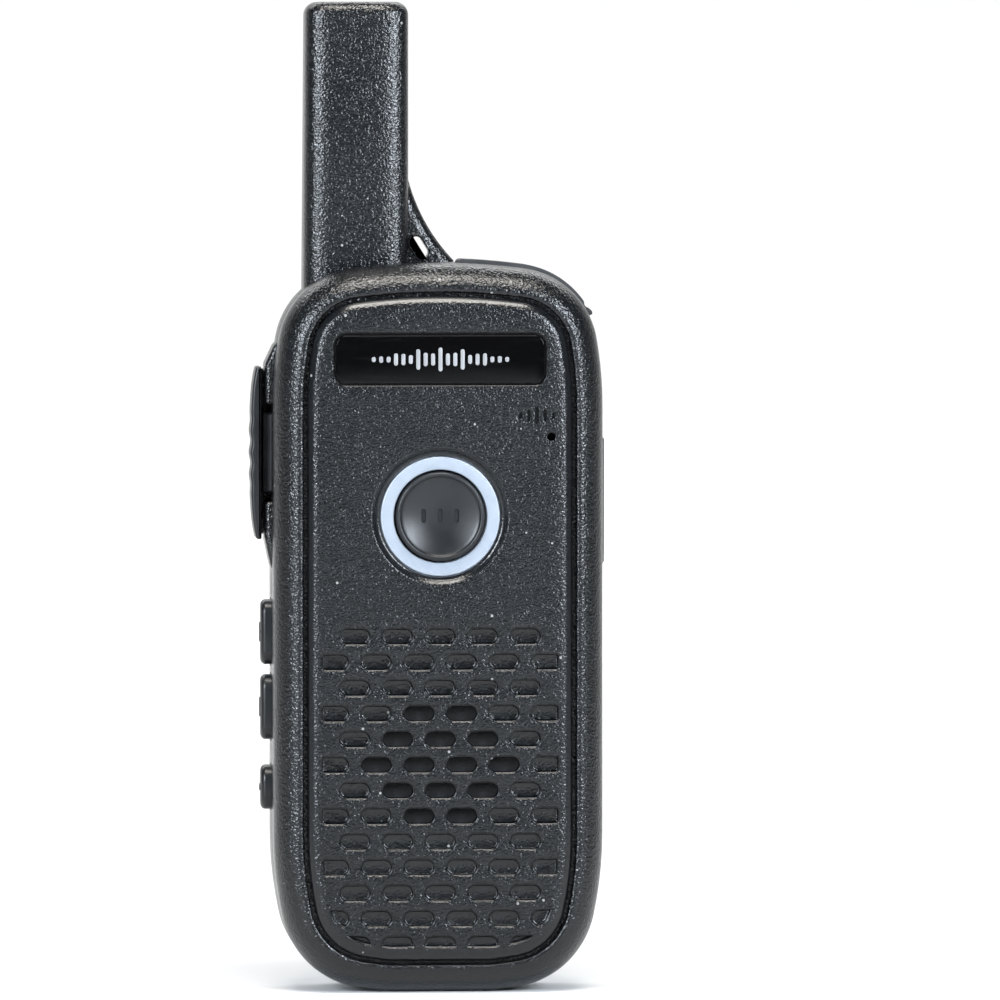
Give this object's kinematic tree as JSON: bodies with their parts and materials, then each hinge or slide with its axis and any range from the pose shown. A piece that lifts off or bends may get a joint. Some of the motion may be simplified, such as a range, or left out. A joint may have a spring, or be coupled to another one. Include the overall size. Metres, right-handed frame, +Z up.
{
  "type": "portable radio",
  "caption": "Compact handheld two-way radio with a fixed stub antenna, front and side talk keys, perforated speaker panel, socket covers, battery door and belt clip.",
  "frame": {"origin": "middle of the flat foot under the case, on the plane it stands on", "axes": "+Z up along the antenna, -Y out of the front face, +X to the right as the front is seen"},
  "size_m": [0.0538, 0.034, 0.1499],
  "materials": {
    "shell_plastic": "fine spark-textured black plastic",
    "panel_plastic": "spark-textured black plastic",
    "plate_gloss": "polished black plastic",
    "light_guide": "frosted pale translucent plastic",
    "key_rubber": "satin black rubber",
    "cover_rubber": "matte black rubber",
    "bright_steel": "plated steel",
    "gold": "gold-plated spring contact",
    "circuit_board": "green solder resist",
    "chip_plastic": "moulded black",
    "white_plastic": "natural nylon",
    "battery_wrap": "wrapped pouch cell",
    "copper": "enamelled copper wire",
    "ferrite": "dark ferrite",
    "paper_cone": "pressed paper",
    "felt": "black felt"
  },
  "bodies": {
    "housing": {"front_shell": "shell_plastic", "front_panel": "panel_plastic", "name_plate": "plate_gloss", "talk_light_ring": "light_guide", "front_talk_switch": "chip_plastic", "rear_shell": "shell_plastic", "case_seal": "cover_rubber", "side_talk_switch": "chip_plastic", "volume_up_switch": "chip_plastic", "volume_down_switch": "chip_plastic", "function_switch": "chip_plastic", "usb_socket": "bright_steel", "jack_socket": "chip_plastic", "battery_pack": "battery_wrap", "battery_contact_1": "gold", "battery_contact_2": "gold", "battery_contact_3": "gold", "belt_clip_bracket": "shell_plastic", "belt_clip_pin": "bright_steel", "clip_screw_1": "bright_steel", "clip_screw_2": "bright_steel", "main_board": "circuit_board", "rf_shield": "bright_steel", "processor": "chip_plastic", "left_led": "white_plastic", "right_led": "white_plastic", "speaker_felt": "felt", "speaker_frame": "bright_steel", "speaker_cone": "paper_cone", "speaker_magnet": "ferrite", "mic_boot": "cover_rubber", "microphone": "bright_steel", "aerial_coil": "copper", "aerial_core": "white_plastic", "aerial_feed": "gold", "case_screw_1": "bright_steel", "case_screw_2": "bright_steel", "case_screw_3": "bright_steel", "case_screw_4": "bright_steel"},
    "front_talk": {"front_talk_button": "key_rubber", "front_talk_stem": "white_plastic"},
    "side_talk": {"side_talk_key": "key_rubber", "side_talk_actuator": "key_rubber", "side_talk_stem": "white_plastic"},
    "volume_up": {"volume_up_button": "key_rubber", "volume_up_stem": "white_plastic"},
    "volume_down": {"volume_down_button": "key_rubber", "volume_down_stem": "white_plastic"},
    "function": {"function_button": "key_rubber", "function_stem": "white_plastic"},
    "top_flap": {"top_port_cover": "cover_rubber"},
    "jack_flap": {"jack_cover": "cover_rubber"},
    "back_door": {"battery_door": "shell_plastic"},
    "belt_clip": {"belt_clip_lever": "shell_plastic", "belt_clip_spring": "bright_steel"}
  },
  "joints": [
    {"name": "front_talk_press", "type": "slide", "parent": "housing", "child": "front_talk", "axis": [0, 1, 0], "range_m": [0, 0.0006], "stiffness_N_per_m": 3000, "springref_m": -0.0002},
    {"name": "side_talk_press", "type": "slide", "parent": "housing", "child": "side_talk", "axis": [1, 0, 0], "range_m": [0, 0.0004], "stiffness_N_per_m": 4000, "springref_m": -0.0002},
    {"name": "volume_up_press", "type": "slide", "parent": "housing", "child": "volume_up", "axis": [1, 0, 0], "range_m": [0, 0.0005], "stiffness_N_per_m": 3000, "springref_m": -0.0002},
    {"name": "volume_down_press", "type": "slide", "parent": "housing", "child": "volume_down", "axis": [1, 0, 0], "range_m": [0, 0.0005], "stiffness_N_per_m": 3000, "springref_m": -0.0002},
    {"name": "function_press", "type": "slide", "parent": "housing", "child": "function", "axis": [1, 0, 0], "range_m": [0, 0.0005], "stiffness_N_per_m": 3000, "springref_m": -0.0002},
    {"name": "top_flap_hinge", "type": "hinge", "parent": "housing", "child": "top_flap", "pos_m": [0.0039, 0.00085, 0.11025], "axis": [0, -1, 0], "range_deg": [0, 90]},
    {"name": "jack_flap_hinge", "type": "hinge", "parent": "housing", "child": "jack_flap", "pos_m": [0.02492, 0.0017, 0.06507], "axis": [0, 1, 0], "range_deg": [0, 110]},
    {"name": "back_door_slide", "type": "slide", "parent": "housing", "child": "back_door", "axis": [0, 0, -1], "range_m": [0, 0.012]},
    {"name": "belt_clip_hinge", "type": "hinge", "parent": "housing", "child": "belt_clip", "pos_m": [0, 0.0172, 0.09], "axis": [1, 0, 0], "range_deg": [0, 15], "stiffness_Nm_per_rad": 0.5, "springref_deg": -14.32}
  ]
}
